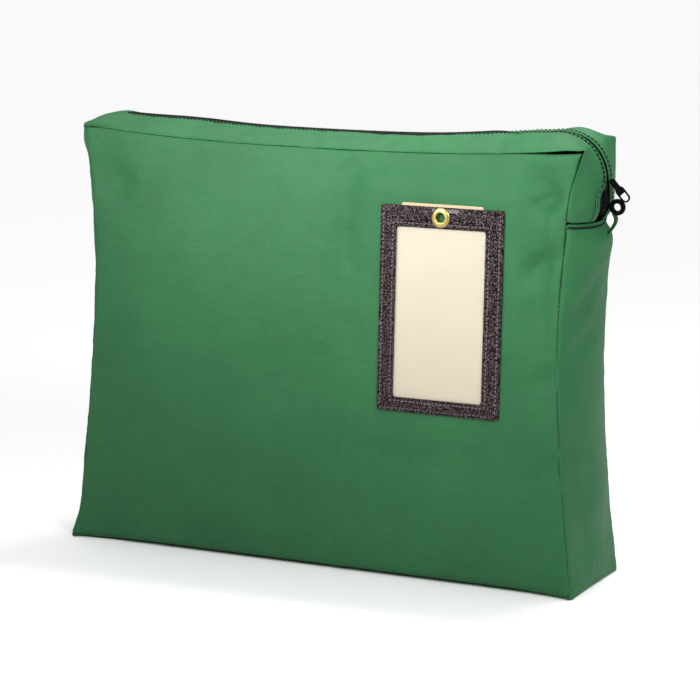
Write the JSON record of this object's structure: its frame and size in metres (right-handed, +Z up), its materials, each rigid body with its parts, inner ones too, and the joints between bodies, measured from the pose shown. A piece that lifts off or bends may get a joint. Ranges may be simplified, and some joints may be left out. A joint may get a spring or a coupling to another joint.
{
  "type": "cash deposit bag",
  "caption": "Soft nylon deposit bag with a zip round its top and one corner, a lockable pull, and a windowed address-card holder on its front.",
  "frame": {"origin": "middle of the flat bottom gusset, on the surface the bag stands on", "axes": "+X along the bag's width, to the right seen from the card holder's side; +Y from the front to the back; +Z up"},
  "size_m": [0.4899, 0.1224, 0.3673],
  "materials": {
    "panel_cloth": "matte coated nylon, plain weave",
    "gusset_cloth": "matte coated nylon, plain weave",
    "seam_binding": "folded nylon binding tape",
    "zip_tape": "woven polyester tape",
    "zip_coil": "satin nylon coil",
    "thread": "bonded nylon thread",
    "zip_metal": "black enamelled zinc, semi gloss",
    "strap_webbing": "narrow woven nylon strap",
    "frame_vinyl": "grained vinyl, matte",
    "frame_thread": "bonded nylon thread",
    "clear_vinyl": "clear flexible vinyl, gloss",
    "brass": "pressed brass, worn satin",
    "card": "manila paper card"
  },
  "bodies": {
    "root": {"front_panel": "panel_cloth", "back_panel": "panel_cloth", "lower_gusset": "gusset_cloth", "front_seam_binding": "seam_binding", "back_seam_binding": "seam_binding", "front_corner_strip": "gusset_cloth", "back_corner_strip": "gusset_cloth", "front_corner_tape": "zip_tape", "back_corner_tape": "zip_tape", "front_corner_coil": "zip_coil", "back_corner_coil": "zip_coil", "front_corner_stitching": "thread", "back_corner_stitching": "thread", "top_stop": "zip_metal", "bottom_stop": "zip_metal", "lock_ring": "zip_metal", "ring_strap": "strap_webbing", "label_frame": "frame_vinyl", "frame_stitching": "frame_thread", "window_pane": "clear_vinyl", "grommet": "brass", "grommet_washer": "brass"},
    "front_lip": {"front_lip": "gusset_cloth", "front_lip_tape": "zip_tape", "front_lip_coil": "zip_coil", "front_lip_stitching": "thread"},
    "back_lip": {"back_lip": "gusset_cloth", "back_lip_tape": "zip_tape", "back_lip_coil": "zip_coil", "back_lip_stitching": "thread"},
    "slider": {"slider_body": "zip_metal", "slider_bridge": "zip_metal"},
    "pull": {"pull_tab": "zip_metal"},
    "card": {"address_card": "card"}
  },
  "joints": [
    {"name": "front_lip_open", "type": "hinge", "parent": "root", "child": "front_lip", "pos_m": [0, -0.0326, 0.3505], "axis": [1, 0, 0], "range_deg": [0, 70]},
    {"name": "back_lip_open", "type": "hinge", "parent": "root", "child": "back_lip", "pos_m": [0, 0.0366, 0.3505], "axis": [-1, 0, 0], "range_deg": [0, 70]},
    {"name": "slider_travel", "type": "hinge", "parent": "root", "child": "slider", "pos_m": [0.19646, 0, 0.3283], "axis": [0, -1, 0], "range_deg": [0, 78]},
    {"name": "pull_swing", "type": "hinge", "parent": "slider", "child": "pull", "pos_m": [0.23906, 0, 0.3283], "axis": [0, -1, 0], "range_deg": [-31, 127]},
    {"name": "card_slide", "type": "slide", "parent": "root", "child": "card", "axis": [0, 0.0505, 0.9987], "range_m": [0, 0.16]}
  ]
}
